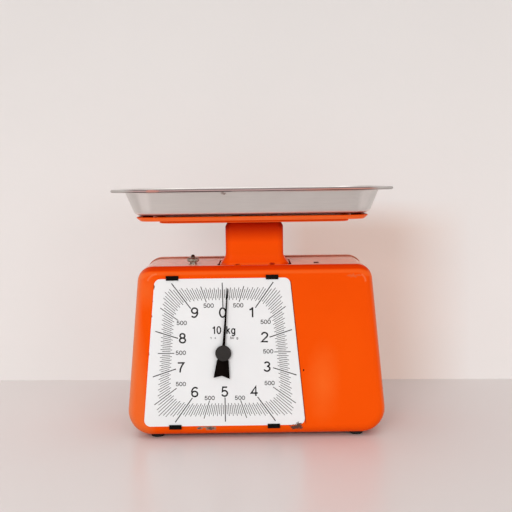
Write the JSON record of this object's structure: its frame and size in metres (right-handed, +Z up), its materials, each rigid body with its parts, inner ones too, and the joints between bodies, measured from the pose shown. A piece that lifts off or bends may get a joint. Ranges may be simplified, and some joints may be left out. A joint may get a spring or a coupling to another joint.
{
  "type": "dial kitchen scale",
  "caption": "Spring dial kitchen scale: orange pressed-sheet housing, trapezoid white dial with a turning pointer, stem with sinking platform and a lift-off stainless tray.",
  "frame": {"origin": "on the table, under the middle of the tray", "axes": "+X to the right seen from the dial side (the tray's long way), -Y out of the dial, +Z up"},
  "size_m": [0.2824, 0.2066, 0.2592],
  "materials": {
    "orange_paint": "glossy orange stove enamel on pressed sheet",
    "zinc_steel": "zinc-plated steel",
    "stainless": "satin stainless sheet",
    "nickel": "dull nickel-plated steel",
    "brass": "turned brass",
    "dial_white": "white enamelled dial sheet",
    "black_paint": "satin black paint on sheet",
    "hub_grey": "dark grey plastic",
    "black_plastic": "black plastic",
    "rubber": "black rubber"
  },
  "bodies": {
    "housing": {"housing_shell": "orange_paint", "rear_cover": "orange_paint", "cover_screws": "zinc_steel", "cover_spacers": "zinc_steel", "cover_nuts": "zinc_steel", "rubber_feet": "rubber", "foot_screws": "zinc_steel", "foot_nuts": "zinc_steel", "dial_plate": "dial_white", "dial_clips": "black_plastic", "chassis": "zinc_steel", "chassis_screws": "zinc_steel", "chassis_nuts": "zinc_steel", "bearing_bracket": "zinc_steel", "bracket_rivets": "zinc_steel", "front_bush": "brass", "rear_bush": "brass", "rear_pivot_pins": "zinc_steel", "rear_pin_clips": "zinc_steel", "left_spring": "zinc_steel", "right_spring": "zinc_steel", "zero_washer": "nickel", "spring_anchor": "nickel"},
    "lower_link": {"lower_link": "zinc_steel"},
    "upper_link": {"upper_link": "zinc_steel"},
    "carrier": {"carrier": "zinc_steel", "front_pivot_pins": "zinc_steel", "front_pin_clips": "zinc_steel", "rack": "brass", "rack_screws": "zinc_steel", "spring_bar": "zinc_steel", "bar_rivets": "zinc_steel", "stem": "orange_paint", "platform_underplate": "orange_paint", "platform_pan": "orange_paint", "platform_screws": "zinc_steel", "platform_nuts": "zinc_steel", "tray_pads": "rubber"},
    "tray": {"tray": "stainless"},
    "pointer": {"pointer": "black_paint", "pointer_hub": "hub_grey", "pointer_shaft": "zinc_steel", "pinion": "brass"},
    "zero_nut": {"zero_nut": "nickel"},
    "zero_stud": {"zero_stud": "nickel"}
  },
  "joints": [
    {"name": "link_swing", "type": "hinge", "parent": "housing", "child": "lower_link", "pos_m": [0.0018, 0.042, 0.042], "axis": [1, 0, 0], "range_deg": [0, 25.08], "stiffness_Nm_per_rad": 13.6, "springref_deg": -5.16, "deforming": ["left_spring", "right_spring"]},
    {"name": "upper_link_swing", "type": "hinge", "parent": "housing", "child": "upper_link", "pos_m": [0.0018, 0.042, 0.112], "axis": [1, 0, 0], "range_deg": [0, 25.09]},
    {"name": "carrier_level", "type": "hinge", "parent": "lower_link", "child": "carrier", "pos_m": [0.0018, -0.01657, 0.05503], "axis": [1, 0, 0], "range_deg": [-25.09, 0]},
    {"name": "pointer_turn", "type": "hinge", "parent": "housing", "child": "pointer", "pos_m": [-0.0316, -0.05, 0.0908], "axis": [0, 1, 0], "range_deg": [0, 355.5]},
    {"name": "tray_lift", "type": "slide", "parent": "carrier", "child": "tray", "axis": [0, 0, 1], "range_m": [0, 0.05]},
    {"name": "zero_stud_rise", "type": "slide", "parent": "housing", "child": "zero_stud", "axis": [0, 0, 1], "range_m": [-0.0014, 0.0014]},
    {"name": "zero_nut_turn", "type": "hinge", "parent": "housing", "child": "zero_nut", "pos_m": [-0.0627, -0.02497, 0.183], "axis": [0, 0, 1], "range_deg": [-720.4, 720.4]}
  ],
  "couplings": [
    {"joint": "upper_link_swing", "follows": "link_swing", "ratio": 1},
    {"joint": "carrier_level", "follows": "link_swing", "ratio": -1},
    {"joint": "pointer_turn", "follows": "link_swing", "ratio": 14.172},
    {"joint": "zero_nut_turn", "follows": "zero_stud_rise", "rad_per_m": -8976}
  ]
}
